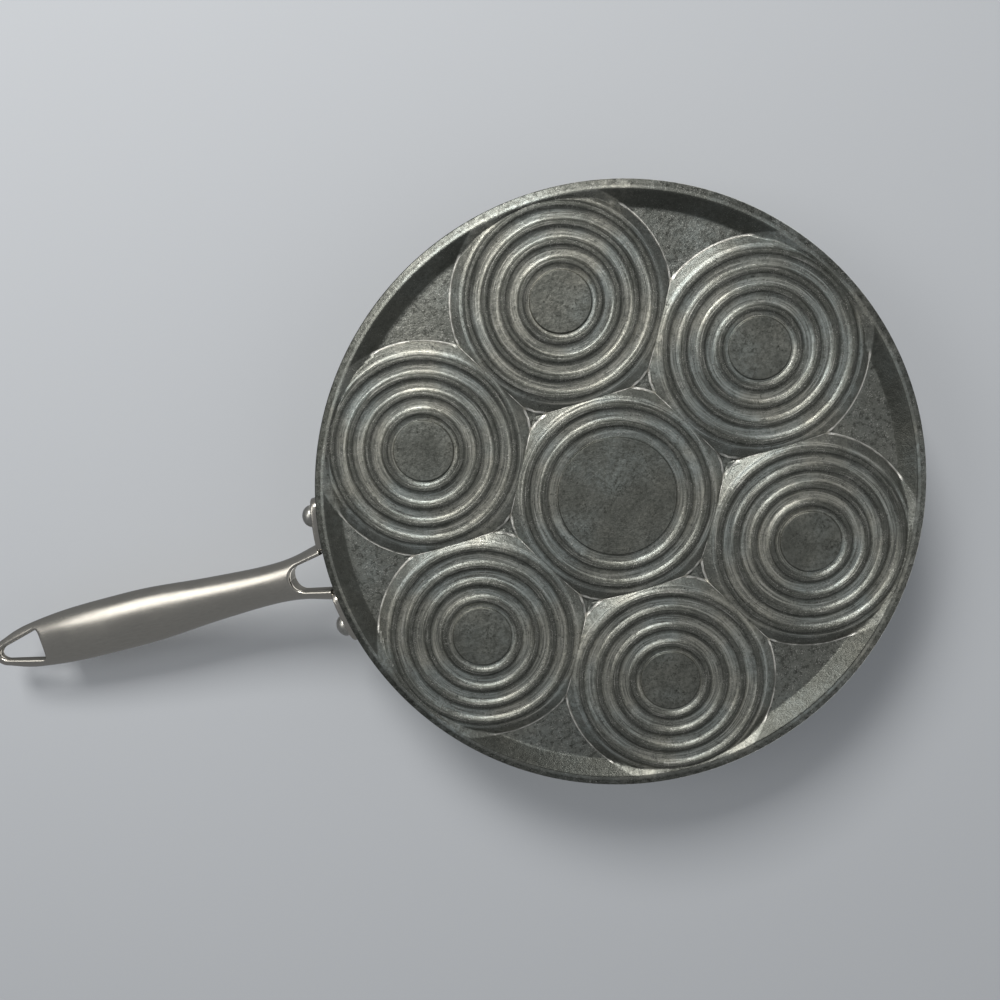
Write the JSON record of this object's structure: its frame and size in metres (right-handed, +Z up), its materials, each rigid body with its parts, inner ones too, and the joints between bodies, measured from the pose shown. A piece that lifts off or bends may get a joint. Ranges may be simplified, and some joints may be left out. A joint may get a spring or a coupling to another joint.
{
  "type": "stovetop waffle pan",
  "caption": "Round cast pan with recessed ringed wells, matching ringed pads underneath and a riveted forked metal handle with a hanging loop.",
  "frame": {"origin": "on the pan's axis, in the plane of the foot and the pads that the pan stands on", "axes": "+Z up out of the cooking side, -X along the handle, +Y to the left of a cook who holds the handle and looks at the pan"},
  "size_m": [0.4434, 0.2662, 0.0398],
  "materials": {
    "cast_aluminium": "bare as-cast, stained, worn bright on the ridges",
    "handle_steel": "brushed satin",
    "rivet_metal": "satin, pressed head"
  },
  "bodies": {
    "root": {"pan": "cast_aluminium", "handle": "handle_steel", "rivet_left": "rivet_metal", "rivet_right": "rivet_metal"}
  },
  "joints": []
}
